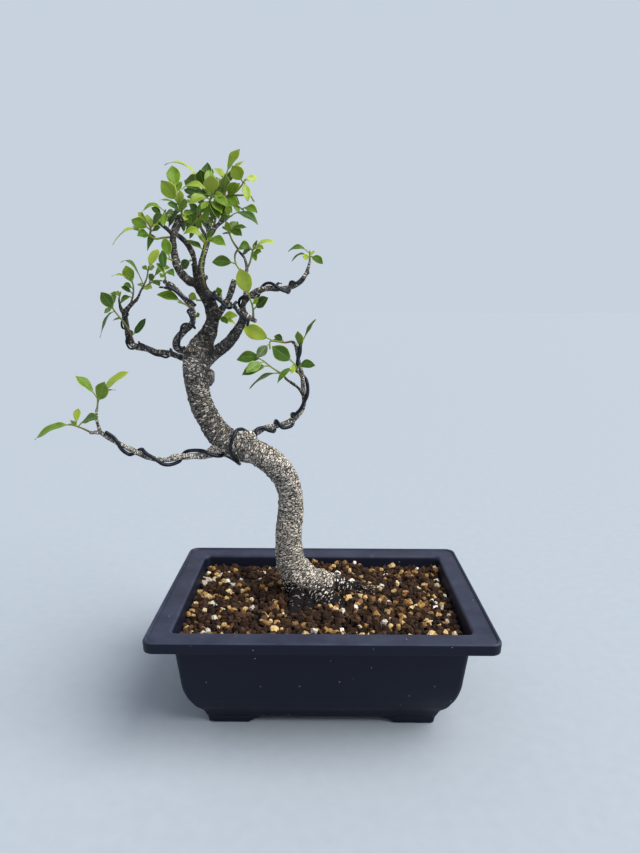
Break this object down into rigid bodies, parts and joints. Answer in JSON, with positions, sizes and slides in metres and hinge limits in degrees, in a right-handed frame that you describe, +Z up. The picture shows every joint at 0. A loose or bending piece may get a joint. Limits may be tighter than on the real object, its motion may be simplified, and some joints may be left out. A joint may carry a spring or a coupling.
{
  "type": "bonsai tree in training pot",
  "caption": "Small ficus bonsai with a curved trunk, wired branches and sparse leafy sprays, in a shallow rectangular plastic training pot of granular soil",
  "frame": {"origin": "on the ground, under the middle of the whole outline", "axes": "+Z up the tree, +X along the pot's long side to the right as seen from the front, +Y to the back"},
  "size_m": [0.362, 0.19, 0.4578],
  "materials": {
    "pot": "matt navy moulded plastic with a faint sheen on the rim",
    "mesh": "black plastic mesh",
    "soil": "loose granular mix of brown, tan and off-white grains",
    "bark": "grey-brown bark with fine pale flecks across it",
    "wire": "dark anodised satin wire",
    "foliage": "smooth, slightly glossy green leaves on yellow-green stalks"
  },
  "bodies": {
    "root": {"training_pot": "pot", "drain_mesh_left": "mesh", "drain_mesh_right": "mesh", "soil_mix": "soil", "trunk_and_branches": "bark", "wire_cross_twig": "wire", "wire_lower_branches": "wire", "wire_mid_left_branch": "wire", "wire_right_branch": "wire", "wire_second_left_branch": "wire", "spray_arch_shoot": "foliage", "spray_cross_twig": "foliage", "spray_crown_back": "foliage", "spray_crown_left_low": "foliage", "spray_crown_left_top": "foliage", "spray_crown_left_twig": "foliage", "spray_crown_middle": "foliage", "spray_crown_right": "foliage", "spray_crown_right_low": "foliage", "spray_left_limb_leaf": "foliage", "spray_low_left_end": "foliage", "spray_low_left_top": "foliage", "spray_low_right_mid": "foliage", "spray_low_right_outer": "foliage", "spray_low_right_top": "foliage", "spray_low_right_twig": "foliage", "spray_mid_left_bud": "foliage", "spray_mid_left_inner": "foliage", "spray_mid_left_shoot": "foliage", "spray_mid_left_upper": "foliage", "spray_middle_limb_leaf": "foliage", "spray_right_cluster": "foliage", "spray_right_end": "foliage", "spray_right_low": "foliage", "spray_right_twig": "foliage", "spray_second_left_bud": "foliage", "spray_second_left_side": "foliage", "spray_second_left_tip": "foliage", "spray_trunk_back": "foliage", "spray_trunk_right": "foliage"}
  },
  "joints": []
}
